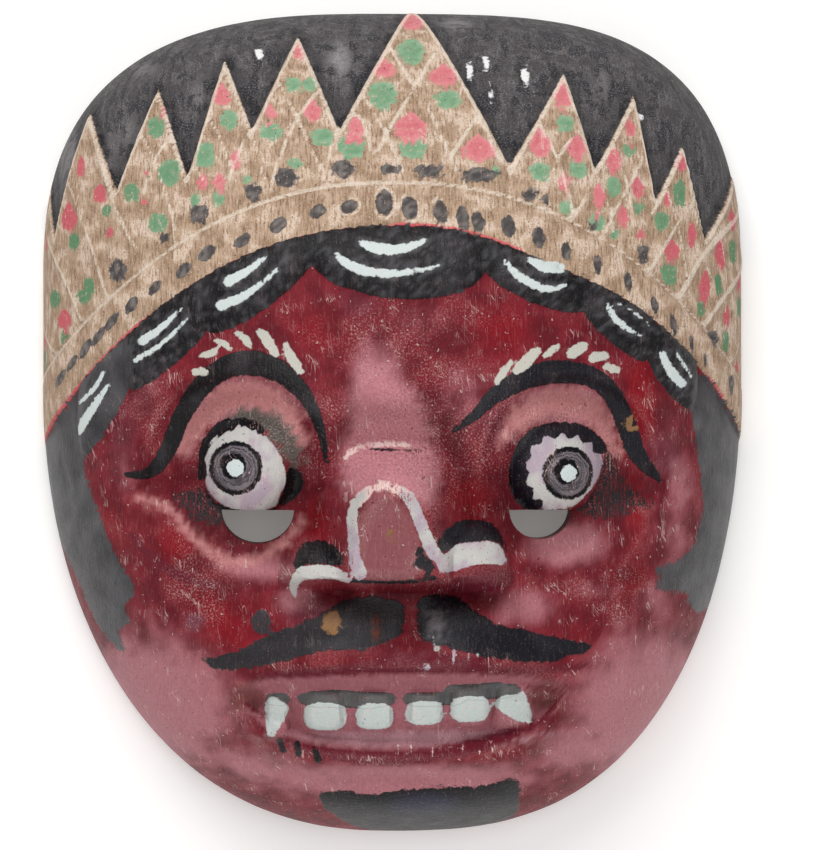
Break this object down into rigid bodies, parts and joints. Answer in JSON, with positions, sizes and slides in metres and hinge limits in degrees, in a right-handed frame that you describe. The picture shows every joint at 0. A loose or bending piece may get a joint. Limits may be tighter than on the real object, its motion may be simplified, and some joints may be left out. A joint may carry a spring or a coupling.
{
  "type": "wooden theatre mask",
  "caption": "Carved wooden dance mask lying on its rim: domed face with bulging eyes, snub nose, toothed smile and a tall crown of triangles, hollowed behind with a slit under each eye.",
  "frame": {"origin": "on the floor below the middle of the mask, in the plane of its rim", "axes": "+Y towards the crown, +X to the right as one faces the painted side, +Z out of the face"},
  "size_m": [0.1674, 0.196, 0.0829],
  "materials": {
    "painted_wood": "worn hand-painted satin over carved softwood"
  },
  "bodies": {
    "root": {"mask": "painted_wood"}
  },
  "joints": []
}
